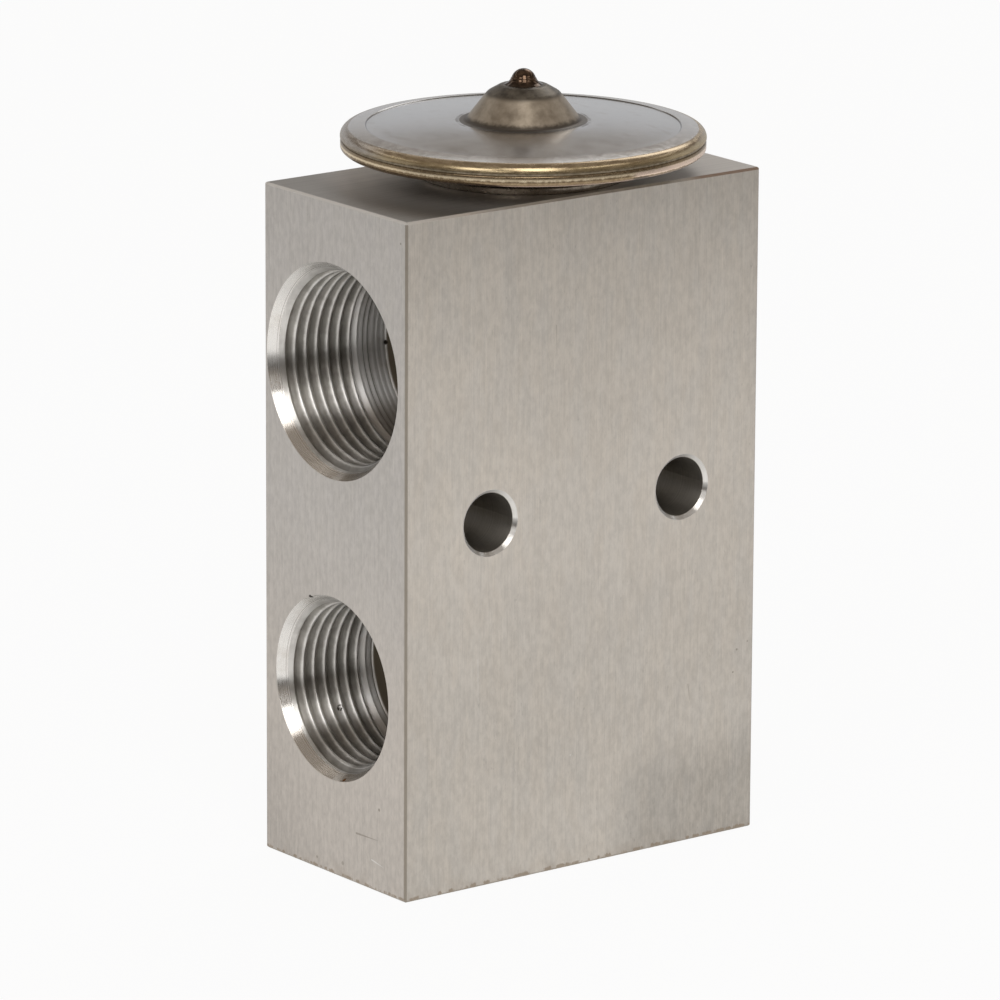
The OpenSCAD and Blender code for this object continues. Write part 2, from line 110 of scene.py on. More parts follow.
# Level directions from the object: to the viewer's right, towards the viewer, and to the backdrop
TO_RIGHT = (0.79, -0.61)
TO_VIEWER = (-0.61, -0.79)
BACKDROP = (0.45, 0.89)

# Threads, mouths and bores of the ports. Depths are millimetres from the block's side face,
# and the ridge's flank and crest reach to either side by a share of the pitch
THREAD_PITCH = 1.442
THREAD_HEIGHT = 0.75
FLANK_REACH = 0.4375
CREST_REACH = 0.115
CREST_ROUND = 0.09
FIRST_CREST = {"vapour": 2.76, "liquid": 2.66}
THREAD_START = 1.1
MOUTH_ROOM = 0.66
THREAD_END = 10.1
PORT_STEP_END = THREAD_END + 0.76
BORE_END = {"vapour": 14.7, "liquid": 11.8}
HOLE_BEVEL_R = 3.64

# Block, from its node, in millimetres
HALF_W, HALF_T, BLOCK_TOP = (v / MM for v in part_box("valve_body")[1])

# Head: radii and heights in millimetres
stem_low, stem_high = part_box("sensing_rod")
HEAD_X = (stem_low.x + stem_high.x) / 2 / MM
SEAM_RISE = 3.75
DIAPHRAGM = 0.2
HEAD_R = 19.67
LOWER_R = 19.63
RING_R = 16.98
RING_FALL = 0.25
RING_RISE = 1.30
RING_STEP = 0.1
RIM_FOOT = 0.1
CROWN_RISE = 0.68
SHEET = 0.9
DIAPHRAGM_RISE = 0.2
DIAPHRAGM_WAVE = 0.25
DOME_R = 6.05
DOME_FILLET = 0.9
DOME_H = 3.85
SHOULDER_R = 3.8
SHOULDER_H = 2.9
DOME_TOP_R = 2.2
PLUG_R = 1.36
PLUG_LIFT = 1.72
CHARGE_HOLE_R = 1.0
NECK_R = 8.95
NECK_LENGTH = 6.8
NECK_BORE_R = 4.4
HUB_R = 11.5
HUB_H = 0.8
HUB_FLOOR = 1.65
LOWER_RIM_T = 1.2
CLAMP_R = 16.27
PAD_R = 8.5

SEAM_Z = BLOCK_TOP + SEAM_RISE
COVER_Z = SEAM_Z + DIAPHRAGM
RING_Z = COVER_Z + RING_RISE
DISH_Z = RING_Z - RING_STEP
RIM_ROUND = RING_Z - RING_FALL - COVER_Z - RIM_FOOT
DOME_Z = DISH_Z + CROWN_RISE
DOME_TOP_Z = DOME_Z + DOME_H


class Graph:
    """A short way to write shader nodes. Inputs are values or the sockets of other nodes."""

    def __init__(self, tree):
        self.tree = tree
        tree.nodes.clear()

    def node(self, kind, inputs=None, **settings):
        made = self.tree.nodes.new("ShaderNode" + kind)
        for name, value in settings.items():
            setattr(made, name, value)
        for key, value in (inputs or {}).items():
            if isinstance(value, bpy.types.NodeSocket):
                self.tree.links.new(value, made.inputs[key])
            else:
                made.inputs[key].default_value = value
        return made

    def math(self, operation, a, b=0.0, c=0.0):
        return self.node("Math", {0: a, 1: b, 2: c}, operation=operation).outputs[0]

    def total(self, *values):
        made = values[0]
        for value in values[1:]:
            made = self.math("ADD", made, value)
        return made

    def product(self, *values):
        made = values[0]
        for value in values[1:]:
            made = self.math("MULTIPLY", made, value)
        return made

    def largest(self, *values):
        made = values[0]
        for value in values[1:]:
            made = self.math("MAXIMUM", made, value)
        return made

    def mix(self, factor, a, b):
        made = self.node("Mix", {0: factor, 6: a, 7: b}, data_type="RGBA")
        return made.outputs[2]

    def blend(self, factor, a, b):
        return self.node("Mix", {0: factor, 2: a, 3: b}, data_type="FLOAT").outputs[0]

    def range(self, value, low, high, to_low=0.0, to_high=1.0):
        made = self.node("MapRange", {0: value, 1: low, 2: high, 3: to_low, 4: to_high},
                         interpolation_type="SMOOTHSTEP")
        return made.outputs[0]

    def band(self, value, low, high, soft):
        """1 between low and high, 0 outside, with soft edges."""
        above = self.range(value, low - soft, low + soft)
        return self.product(above, self.range(value, high + soft, high - soft))

    def place(self):
        """Position in the row frame, in millimetres."""
        coords = self.node("TexCoord").outputs["Object"]
        return self.node("VectorMath", {0: coords, 3: 1 / MM}, operation="SCALE").outputs[0]

    def stretched(self, vector, scale):
        return self.node("VectorMath", {0: vector, 1: scale}, operation="MULTIPLY").outputs[0]

    def noise(self, vector, scale, detail=3.0, rough=0.55):
        made = self.node("TexNoise", {"Vector": vector, "Scale": scale, "Detail": detail,
                                      "Roughness": rough})
        return made.outputs["Fac"]

    def split(self, vector):
        return self.node("SeparateXYZ", {0: vector}).outputs

    def shaded(self, colour, factor):
        return self.node("VectorMath", {0: colour, 3: factor}, operation="SCALE").outputs[0]

    def from_axis(self, vector, point, axis):
        """Distance in millimetres from the line along a row axis through a point."""
        keep = [0.0 if name == axis else 1.0 for name in "XYZ"]
        shifted = self.node("VectorMath", {0: vector, 1: point}, operation="SUBTRACT").outputs[0]
        flat = self.stretched(shifted, keep)
        return self.node("VectorMath", {0: flat}, operation="LENGTH").outputs["Value"]

    def spot(self, vector, point, radius):
        """1 within a radius of a point, with a soft edge."""
        away = self.node("VectorMath", {0: vector, 1: point}, operation="DISTANCE").outputs["Value"]
        return self.range(away, radius * 1.25, radius * 0.75)

    def scratch(self, vector, start, end, width):
        """1 along a thin line from start to end."""
        start, end = Vector(start), Vector(end)
        along = end - start
        shifted = self.node("VectorMath", {0: vector, 1: start}, operation="SUBTRACT").outputs[0]
        reach = self.node("VectorMath", {0: shifted, 1: along / along.length_squared},
                          operation="DOT_PRODUCT").outputs["Value"]
        reach = self.math("MINIMUM", self.math("MAXIMUM", reach, 0.0), 1.0)
        nearest = self.node("VectorMath", {0: along, 3: reach}, operation="SCALE").outputs[0]
        away = self.node("VectorMath", {0: shifted, 1: nearest}, operation="DISTANCE").outputs["Value"]
        taper = self.product(self.math("ADD", self.product(reach, -1.0), 1.15), width)
        return self.range(self.math("DIVIDE", away, taper), 1.0, 0.5)

    def without(self, mask):
        return self.math("SUBTRACT", 1.0, mask)

    def along(self, x, y, direction):
        """How far a point lies in a horizontal direction."""
        return self.total(self.product(x, direction[0]), self.product(y, direction[1]))

    def bump(self, height, distance, strength=1.0):
        return self.node("Bump", {"Height": height, "Distance": distance * MM,
                                  "Strength": strength}).outputs[0]


def material(name):
    made = bpy.data.materials.new(name)
    made.use_nodes = True
    return made, Graph(made.node_tree)


def surface(graph, colour, rough, metallic=1.0, normal=None, turned=None, axis=None):
    """A Principled surface joined to the output.

    Where turned is 1 the reflections fan out along the axis, as on a surface with turning marks around it.
    """
    inputs = {"Base Color": colour, "Roughness": rough, "Metallic": metallic}
    if normal is not None:
        inputs["Normal"] = normal
    if turned is not None:
        inputs["Anisotropic"] = turned
        inputs["Tangent"] = axis
    shader = graph.node("BsdfPrincipled", inputs)
    graph.node("OutputMaterial", {"Surface": shader.outputs[0]})


def turning_marks(g, depth, place):
    """Fine round furrows, one beside the other along a bore, from 0 to 1."""
    drift = g.noise(g.stretched(place, (1.6, 0.05, 0.05)), 1.0, 3.0)
    phase = g.product(g.total(depth, g.product(drift, 0.35)), 2 * math.pi / MARK_PITCH)
    return g.total(g.product(g.math("SINE", phase), 0.5), 0.5)


def port_masks(g, place):
    """Depth from the side face, and where turned walls, thread roots and the deep passages are."""
    x = g.split(place)[0]
    depth = g.math("SUBTRACT", HALF_W, g.math("ABSOLUTE", x))
    turned, root, deep = None, None, None
    for name in ("vapour_port_left", "liquid_inlet_port", "liquid_outlet_port"):
        mount = mounts[name]
        centre = [v / MM for v in mount["pos_m"]]
        wall = mount["dims"]["r_mm"]
        near = g.from_axis(place, centre, "X")
        inside = g.range(near, wall + 0.70, wall + 0.67)
        if name != "vapour_port_left":
            side = 1 if centre[0] > 0 else -1
            inside = g.product(inside, g.range(g.product(x, side), 0.0, 0.1))
        inside = g.product(inside, g.range(depth, 0.004, 0.03))
        threaded = g.product(inside, g.band(depth, THREAD_START + 0.02, THREAD_END + 0.1, 0.03))
        end = BORE_END[name.split("_")[0]]
        beyond = g.product(inside, g.range(depth, end - 0.02, end + 0.15))
        turned = inside if turned is None else g.largest(turned, inside)
        root = threaded if root is None else g.largest(root, threaded)
        deep = beyond if deep is None else g.largest(deep, beyond)
    return depth, turned, root, deep


def bar_tone(g, place, streak, fine, flecks, on_side):
    """How light the bar's faces are: streaks, lumps and grain; on the front face painted light at mid height,
    painted shade lower down and near the top, and a painted shadow in its lower right corner; on the side
    face darker towards the bottom and the back.
    """
    x, y, z = g.split(place)
    broad = g.noise(place, 0.05, 2.0)
    grain = g.noise(g.stretched(place, (6.0, 6.0, 2.2)), 1.0, 2.0, 0.5)
    lumps = g.noise(g.stretched(place, (1.6, 1.6, 0.8)), 1.0, 4.0, 0.6)
    texture = g.total(
        g.range(streak, 0.28, 0.72, -0.050, 0.050),
        g.range(fine, 0.3, 0.7, -0.034, 0.034),
        g.range(lumps, 0.3, 0.7, -0.062, 0.062),
        g.range(broad, 0.35, 0.65, -0.025, 0.025),
        g.range(grain, 0.3, 0.7, -0.020, 0.020),
        g.product(flecks, -0.13),
        1.0)
    # Painted light at mid height of the front face, painted shade below it and near the top
    middle = g.total(g.range(z, 12.0, 46.0, -0.055, 0.11), g.range(z, 56.0, 78.0, 0.0, -0.11))
    # Painted shadow in the front face's lower right corner
    low = g.range(g.total(z, g.product(streak, 3.0)), 16.0, 7.5)
    painted_shadow_corner = g.product(g.range(x, 2.0, 10.0), low, -0.20)
    foot = g.range(z, 0.0, 16.0, -0.10, 0.0)
    back = g.range(g.total(y, g.product(z, -0.8)), -6.0, 10.0, 0.0, -0.10)
    return g.total(texture, g.blend(on_side, g.total(middle, painted_shadow_corner), g.total(foot, back)))


def bar_edges(g, place, cloudy, colour):
    """The bar's colour with its broken edges, a painted highlight and a brown mark along the top edge, and
    nicks and soil at the foot.
    """
    x, y, z = g.split(place)
    near_x = g.range(g.math("ABSOLUTE", x), HALF_W - 0.30, HALF_W - 0.20)
    near_y = g.range(g.math("ABSOLUTE", y), HALF_T - 0.30, HALF_T - 0.20)
    outer = g.largest(near_x, near_y)
    foot = g.product(g.range(z, 0.30, 0.16), outer, g.range(cloudy, 0.3, 0.6, 0.6, 1.0))
    edges = g.largest(g.product(near_x, near_y), foot)
    colour = g.mix(g.product(edges, 0.75), colour, (0.235, 0.205, 0.165, 1))
    top = g.product(outer, g.range(z, BLOCK_TOP - 0.30, BLOCK_TOP - 0.22))
    # Painted highlight along the left part of the top edge
    colour = g.mix(g.product(top, g.range(x, 8.0, -2.0), 0.7), colour, (0.92, 0.90, 0.87, 1))
    colour = g.mix(g.product(top, g.range(x, 13.0, 16.0), 0.8), colour, (0.33, 0.22, 0.16, 1))
    nicks = g.noise(g.stretched(place, (1.3, 1.3, 0.5)), 1.0, 4.0)
    ragged = g.range(g.total(z, g.product(nicks, -1.2)), -0.10, -0.28)
    foot_line = g.product(ragged, g.range(nicks, 0.46, 0.56), 0.7)
    colour = g.mix(foot_line, colour, (0.30, 0.235, 0.17, 1))
    soiled = g.product(g.range(z, 2.4, 0.0), g.range(g.noise(place, 0.5, 4.0), 0.42, 0.66), 0.30)
    return g.mix(soiled, colour, (0.36, 0.30, 0.24, 1))


def bar_surface(g, place):
    """The outside of the bar: (colour, roughness, relief)."""
    x, _, z = g.split(place)
    cloudy = g.noise(g.stretched(place, (0.5, 0.5, 0.16)), 1.0, 4.0)
    streak = g.noise(g.stretched(place, (2.6, 2.6, 0.05)), 1.0, 6.0, 0.72)
    fine = g.noise(g.stretched(place, (9.0, 9.0, 0.20)), 1.0, 3.0, 0.6)
    dash = g.noise(g.stretched(place, (4.2, 4.2, 1.3)), 1.0, 2.0, 0.5)
    patch = g.noise(g.stretched(place, (0.16, 0.16, 0.09)), 1.0, 2.0)
    flecks = g.product(g.range(dash, 0.66, 0.74), g.range(patch, 0.45, 0.62, 0.15, 1.0))

    on_side = g.range(g.math("ABSOLUTE", x), HALF_W - 0.02, HALF_W - 0.002)
    warm = g.mix(g.range(cloudy, 0.35, 0.65), (0.634, 0.591, 0.538, 1), (0.627, 0.591, 0.546, 1))
    cool = g.mix(g.range(cloudy, 0.35, 0.65), (0.640, 0.612, 0.582, 1), (0.650, 0.622, 0.596, 1))
    cool = g.mix(g.range(z, 44.0, 14.0), cool, (0.638, 0.594, 0.550, 1))
    colour = g.shaded(g.mix(on_side, warm, cool), bar_tone(g, place, streak, fine, flecks, on_side))

    sawn = g.largest(g.range(z, BLOCK_TOP - 0.05, BLOCK_TOP - 0.01), g.range(z, 0.05, 0.01))
    milled = g.noise(g.stretched(place, (0.05, 2.4, 1.0)), 1.0, 5.0, 0.7)
    # Painted light on the top face near the head and painted shade towards its far left
    painted_light_near_head = g.range(from_head_axis(g, place), 16.0, 23.0, 1.45, 0.62)
    painted_light_near_head = g.blend(g.range(x, 4.0, 16.0), painted_light_near_head, 1.0)
    end_tone = g.product(painted_light_near_head, g.range(milled, 0.3, 0.7, 0.93, 1.07))
    colour = g.mix(sawn, colour, g.shaded((0.60, 0.575, 0.545), end_tone))
    colour = bar_edges(g, place, cloudy, colour)
    dark, bright = block_marks(g, place)
    colour = g.mix(dark, colour, (0.27, 0.24, 0.20, 1))
    colour = g.mix(bright, colour, (0.86, 0.85, 0.84, 1))

    rough = g.blend(sawn, g.range(streak, 0.3, 0.7, 0.40, 0.48), 0.50)
    drawn = g.total(g.product(streak, 0.55), g.product(fine, 0.4), g.product(flecks, -0.5))
    relief = g.total(g.blend(sawn, drawn, milled), g.product(dark, -1.2), g.product(bright, 0.8))
    return colour, rough, relief


def port_surface(g, place, masks):
    """The inside of the ports: (colour, roughness, relief, furrows of the plain bores)."""
    depth, turned, root, deep = masks
    z = g.split(place)[2]
    rings = g.noise(g.stretched(place, (8.0, 0.0, 0.0)), 1.0, 4.0, 0.75)
    smear = g.noise(place, 0.35, 3.0)
    colour = g.mix(g.range(rings, 0.3, 0.7), (0.82, 0.805, 0.78, 1), (0.94, 0.925, 0.905, 1))
    colour = g.mix(g.product(g.range(smear, 0.5, 0.7), 0.25), colour, (0.52, 0.46, 0.39, 1))
    grooves = g.largest(g.band(depth, 11.64, 11.72, 0.04), g.band(depth, 12.26, 12.38, 0.05),
                        g.product(g.band(depth, 0.90, 0.96, 0.03), 0.6))
    colour = g.mix(g.product(grooves, 0.7), colour, (0.22, 0.20, 0.17, 1))
    # Painted shade: the lower arc of each port darker and browner
    low_arc = g.largest(g.band(z, 42.0, 49.0, 1.6), g.range(z, 16.5, 13.5))
    colour = g.mix(g.product(low_arc, 0.55), colour, (0.56, 0.49, 0.41, 1))
    # Thread roots darker, partly for their dull cut finish and partly as painted shade in the thread's
    # hollows
    colour = g.mix(root, colour, (0.40, 0.375, 0.34, 1))
    # Painted shade: the deep passages beyond the bores near black
    colour = g.mix(deep, colour, (0.115, 0.095, 0.07, 1))

    behind_thread = g.product(turned, g.range(depth, THREAD_END + 0.1, THREAD_END + 0.3))
    rough = g.range(rings, 0.3, 0.7, 0.22, 0.30)
    rough = g.blend(behind_thread, rough, g.range(rings, 0.3, 0.7, 0.40, 0.50))
    rough = g.blend(g.largest(root, deep), rough, 0.50)
    relief = g.total(g.product(rings, 0.7), g.product(grooves, -1.0))
    furrows = g.product(turning_marks(g, depth, place), behind_thread, g.without(deep))
    return colour, rough, relief, furrows


def hole_masks(g, place):
    """Where the bevels and the drilled walls of the mounting holes are."""
    holes = mounts["mounting_holes"]
    middle = [v / MM for v in holes["pos_m"]]
    spread = holes["dims"]["spacing_x_mm"] / 2
    wall = holes["dims"]["hole_r_mm"]
    left = g.from_axis(place, (middle[0] - spread, 0, middle[2]), "Y")
    right = g.from_axis(place, (middle[0] + spread, 0, middle[2]), "Y")
    near = g.math("MINIMUM", left, right)
    return g.range(near, HOLE_BEVEL_R + 0.04, HOLE_BEVEL_R), g.range(near, wall + 0.03, wall + 0.01)


def block_material():
    """Bare aluminium bar: upright streaks and flecks outside, turned rings inside the ports."""
    made, g = material("block_aluminium")
    place = g.place()
    masks = port_masks(g, place)
    _, turned, _, deep = masks
    bevelled, drilled = hole_masks(g, place)
    colour, rough, relief = bar_surface(g, place)
    port_colour, port_rough, port_relief, furrows = port_surface(g, place, masks)

    smear = g.noise(place, 0.35, 3.0)
    bevel = g.mix(g.range(smear, 0.35, 0.6), (0.70, 0.685, 0.66, 1), (0.80, 0.785, 0.76, 1))
    drill_rings = g.noise(g.stretched(place, (0.0, 5.0, 0.0)), 1.0, 4.0, 0.7)
    # Drilled walls darker than the faces, partly for their rough drilled finish and partly as painted shade
    # inside the holes
    wall = g.mix(g.range(drill_rings, 0.3, 0.7), (0.40, 0.375, 0.335, 1), (0.52, 0.49, 0.45, 1))
    colour = g.mix(turned, colour, port_colour)
    colour = g.mix(bevelled, colour, bevel)
    colour = g.mix(drilled, colour, wall)
    black, rust = port_dots(g, place)
    colour = g.mix(black, colour, (0.02, 0.015, 0.01, 1))
    colour = g.mix(rust, colour, (0.30, 0.13, 0.04, 1))

    rough = g.blend(turned, rough, port_rough)
    rough = g.blend(bevelled, rough, 0.30)
    rough = g.blend(drilled, rough, 0.40)

    lathed = g.largest(turned, bevelled)
    relief = g.blend(lathed, relief, port_relief)
    relief = g.blend(drilled, relief, drill_rings)
    relief = g.total(g.product(relief, 0.12), furrows)
    holes = g.largest(bevelled, drilled)
    plain = g.without(g.largest(turned, holes))
    axis = g.node("CombineXYZ", {0: g.total(turned, g.product(plain, 0.31)),
                                 1: g.total(holes, g.product(plain, 0.27)), 2: plain}).outputs[0]
    fan = g.blend(drilled, g.product(lathed, g.without(deep), TURNED), 0.75)
    surface(g, colour, rough, normal=g.bump(relief, MARK_DEPTH), turned=fan, axis=axis)
    return made


def block_marks(g, place):
    """Handling marks on the faces: (dark scratches and pits, bright scratches)."""
    left, front = -HALF_W, -HALF_T
    dark = g.largest(
        g.product(g.scratch(place, (left, -3.96, 5.69), (left, -7.8, 5.79), 0.13), 0.6),
        g.product(g.spot(place, (left, -8.04, 9.27), 0.17), 0.7),
        g.product(g.spot(place, (left, 3.2, 1.27), 0.15), 0.6),
        g.product(g.spot(place, (left, -1.5, 1.7), 0.22), 0.5),
        g.product(g.spot(place, (left, -11.7, 71.8), 0.12), 0.6),
        g.product(g.spot(place, (21.4, front, 20.6), 0.13), 0.6),
        g.product(g.spot(place, (20.9, front, 18.1), 0.12), 0.6),
        g.product(g.spot(place, (22.9, front, 21.3), 0.10), 0.5),
        g.product(g.scratch(place, (14.6, front, 17.8), (14.9, front, 15.8), 0.07), 0.45),
        g.product(g.scratch(place, (-3.9, front, 60.5), (-3.8, front, 57.2), 0.07), 0.35),
    )
    bright = g.largest(
        g.product(g.scratch(place, (left, -6.71, 3.40), (left, -8.9, 3.01), 0.09), 0.6),
        g.product(g.scratch(place, (-14.2, front, 25.4), (-14.1, front, 19.0), 0.06), 0.35),
        g.product(g.spot(place, (-1.6, front, 12.6), 0.10), 0.4),
    )
    return dark, bright


def port_dots(g, place):
    """Specks and a nick at the ports: (black, rust)."""
    mouth = -HALF_W
    dark = g.largest(g.spot(place, (mouth + 0.5, -9.9, 59.3), 0.30),
                     g.spot(place, (mouth + 0.1, 4.4, 30.1), 0.26),
                     g.spot(place, (mouth + 14.85, 10.82, 54.89), 0.30),
                     g.product(g.spot(place, (mouth + 6.6, 8.0, 15.76), 0.36),
                               g.range(g.noise(place, 3.5, 2.0), 0.44, 0.54)),
                     g.spot(place, (mouth + 8.1, 8.72, 23.87), 0.22),
                     g.spot(place, (mouth + 5.7, -4.4, 13.2), 0.20))
    rust = g.spot(place, (mouth + 0.3, -1.4, 10.9), 0.26)
    return dark, rust


def thread_material(mount_name):
    """Dull flanks, darkened further by painted shade in the thread's hollows, bright rubbed crests and the
    cone of the mouth where it cuts the first turn.
    """
    made, g = material("turned_thread_" + mount_name)
    mount = mounts[mount_name]
    centre = [v / MM for v in mount["pos_m"]]
    wall = mount["dims"]["r_mm"]
    place = g.place()
    near = g.from_axis(place, centre, "X")
    depth = g.math("SUBTRACT", HALF_W, g.math("ABSOLUTE", g.split(place)[0]))
    lathe_lines = g.noise(g.stretched(place, (12.0, 0.4, 0.4)), 1.0, 4.0, 0.7)
    patches = g.noise(place, 0.5, 4.0)
    burr = g.noise(place, 2.2, 3.0)
    edge = g.total(near, g.range(burr, 0.3, 0.7, -0.03, 0.03))
    crest = g.range(edge, wall - THREAD_HEIGHT + 0.34, wall - THREAD_HEIGHT + 0.06)
    from_cone = g.total(near, g.product(depth, MOUTH_ROOM / THREAD_START), -wall - MOUTH_ROOM)
    cone = g.range(from_cone, 0.08, 0.03)
    # Flank colour: partly the dull cut finish, partly painted shade in the thread's hollows
    flank = g.mix(g.range(patches, 0.35, 0.65), (0.30, 0.285, 0.26, 1), (0.42, 0.40, 0.37, 1))
    bright = g.mix(g.range(patches, 0.35, 0.65), (0.62, 0.605, 0.58, 1), (0.78, 0.765, 0.74, 1))
    polished = g.largest(crest, cone)
    colour = g.mix(polished, flank, bright)
    colour = g.mix(port_dots(g, place)[0], colour, (0.03, 0.025, 0.02, 1))
    rough = g.blend(polished, g.range(lathe_lines, 0.3, 0.7, 0.34, 0.44), 0.32)
    along = g.node("CombineXYZ", {0: 1.0, 1: 0.0, 2: 0.0}).outputs[0]
    surface(g, colour, rough, normal=g.bump(lathe_lines, 0.02), turned=TURNED, axis=along)
    return made


def from_head_axis(g, place):
    """Distance from the axis of the head, in millimetres."""
    return g.from_axis(place, (HEAD_X, 0, 0), "Z")


def dome_colour(g, z, mottle):
    """Scaled steel: beige on the flank, black-brown on the cap, and a painted shadow darkening the foot."""
    flank = g.mix(g.range(mottle, 0.2, 0.8), (0.33, 0.28, 0.22, 1), (0.50, 0.43, 0.345, 1))
    cap = g.mix(g.range(mottle, 0.25, 0.75), (0.085, 0.075, 0.062, 1), (0.21, 0.185, 0.15, 1))
    rise = g.total(z, g.range(mottle, 0.3, 0.7, -0.09, 0.09), -DOME_Z)
    colour = g.mix(g.range(rise, SHOULDER_H - 0.35, SHOULDER_H + 0.15), flank, cap)
    # Painted shadow at the dome's foot
    return g.mix(g.product(g.range(rise, 0.70, 0.20), 0.85), colour, (0.06, 0.05, 0.04, 1))


def rim_colour(g, z, to_right, smear, spots, lines):
    """Heat tints on the bend of the upper cover: brown, then gold; greyer at its left end as the viewer sees
    it.
    """
    drop = g.total(z, g.range(spots, 0.3, 0.7, -0.07, 0.07), g.range(smear, 0.3, 0.7, -0.06, 0.06), -COVER_Z)
    gold = g.mix(g.range(lines, 0.3, 0.7), (0.43, 0.335, 0.20, 1), (0.56, 0.45, 0.28, 1))
    brown = g.mix(g.range(lines, 0.3, 0.7), (0.36, 0.275, 0.175, 1), (0.52, 0.415, 0.28, 1))
    grey = g.mix(g.range(lines, 0.3, 0.7), (0.34, 0.295, 0.25, 1), (0.52, 0.475, 0.43, 1))
    colour = g.mix(g.range(drop, 0.74, 0.56), brown, gold)
    colour = g.mix(g.range(drop, 0.22, 0.02), colour, (0.30, 0.22, 0.13, 1))
    return g.mix(g.range(to_right, -0.70 * HEAD_R, -0.88 * HEAD_R, 0.0, 0.85), colour, grey)


def upper_cover_material():
    """Polished stainless sheet, grainy on its shelf, heat-tinted at the rim and dull on the dome."""
    made, g = material("polished_steel_cover")
    place = g.place()
    r = from_head_axis(g, place)
    x, y, z = g.split(place)
    from_head = g.total(x, -HEAD_X)
    to_right = g.along(from_head, y, TO_RIGHT)
    to_viewer = g.along(from_head, y, TO_VIEWER)
    smear = g.noise(place, 0.22, 5.0, 0.6)
    stain = g.noise(g.stretched(place, (0.9, 0.35, 1.0)), 1.0, 4.0)
    spots = g.noise(place, 2.6, 3.0)
    mottle = g.noise(place, 1.1, 5.0, 0.65)
    lines = g.noise(g.stretched(place, (0.7, 0.7, 5.0)), 1.0, 4.0)
    spun = g.noise(g.node("CombineXYZ", {0: g.product(r, 3.0)}).outputs[0], 1.0, 4.0, 0.6)

    polish = g.mix(g.range(smear, 0.35, 0.65), (0.62, 0.615, 0.61, 1), (0.67, 0.665, 0.66, 1))
    polish = g.mix(g.product(g.range(stain, 0.56, 0.72), 0.35), polish, (0.46, 0.42, 0.38, 1))
    shelf = g.mix(g.range(mottle, 0.3, 0.7), (0.60, 0.58, 0.56, 1), (0.72, 0.70, 0.68, 1))
    # Painted shade on the front of the shelf, towards the viewer
    front = g.product(g.band(to_right, -2.8, 2.6, 1.6), g.range(to_viewer, 8.0, 12.0), 0.75)
    shelf = g.mix(front, shelf, (0.34, 0.30, 0.26, 1))
    line = g.band(r, RING_R - 0.13, RING_R - 0.01, 0.05)
    on_shelf = g.range(r, RING_R - 0.06, RING_R + 0.04)
    colour = g.mix(on_shelf, polish, shelf)
    colour = g.mix(g.product(line, 0.9), colour, (0.09, 0.085, 0.08, 1))

    on_dome = g.product(g.range(r, DOME_R + 0.55, DOME_R + 0.15), g.range(z, DOME_Z - 0.3, DOME_Z - 0.1))
    colour = g.mix(on_dome, colour, dome_colour(g, z, mottle))
    # Painted shade in the fillet round the dome's foot
    painted_shade_round_foot = g.band(r, DOME_R + 0.05, DOME_R + 0.86, 0.08)
    colour = g.mix(g.product(painted_shade_round_foot, 0.85), colour, (0.12, 0.105, 0.09, 1))
    # Painted shade: dark curls beside the dome's foot, at its left and right as the viewer sees them
    painted_shade_curls = g.product(g.band(r, DOME_R + 0.9, DOME_R + 1.25, 0.08),
                      g.range(g.math("ABSOLUTE", to_right), 5.9, 6.5),
                      g.range(stain, 0.40, 0.55))
    colour = g.mix(g.product(painted_shade_curls, 0.7), colour, (0.13, 0.11, 0.09, 1))

    past = g.total(r, g.range(smear, 0.3, 0.7, -0.04, 0.04), RIM_ROUND - HEAD_R)
    on_rim = g.product(g.range(past, 0.0, 0.12), g.range(z, SEAM_Z, SEAM_Z + 0.01))
    colour = g.mix(on_rim, colour, rim_colour(g, z, to_right, smear, spots, lines))

    rough = g.blend(on_shelf, g.range(smear, 0.3, 0.7, 0.17, 0.22), g.range(mottle, 0.3, 0.7, 0.20, 0.26))
    rough = g.blend(on_dome, rough, g.range(mottle, 0.3, 0.7, 0.34, 0.46))
    rough = g.blend(painted_shade_round_foot, rough, 0.45)
    rough = g.blend(on_rim, rough, g.range(lines, 0.3, 0.7, 0.20, 0.30))
    grain = g.total(g.product(smear, 0.5), g.product(spun, 0.12),
                    g.product(g.largest(on_shelf, on_dome), spots, 0.06))
    surface(g, colour, rough, normal=g.bump(grain, 0.022, 0.35))
    return made


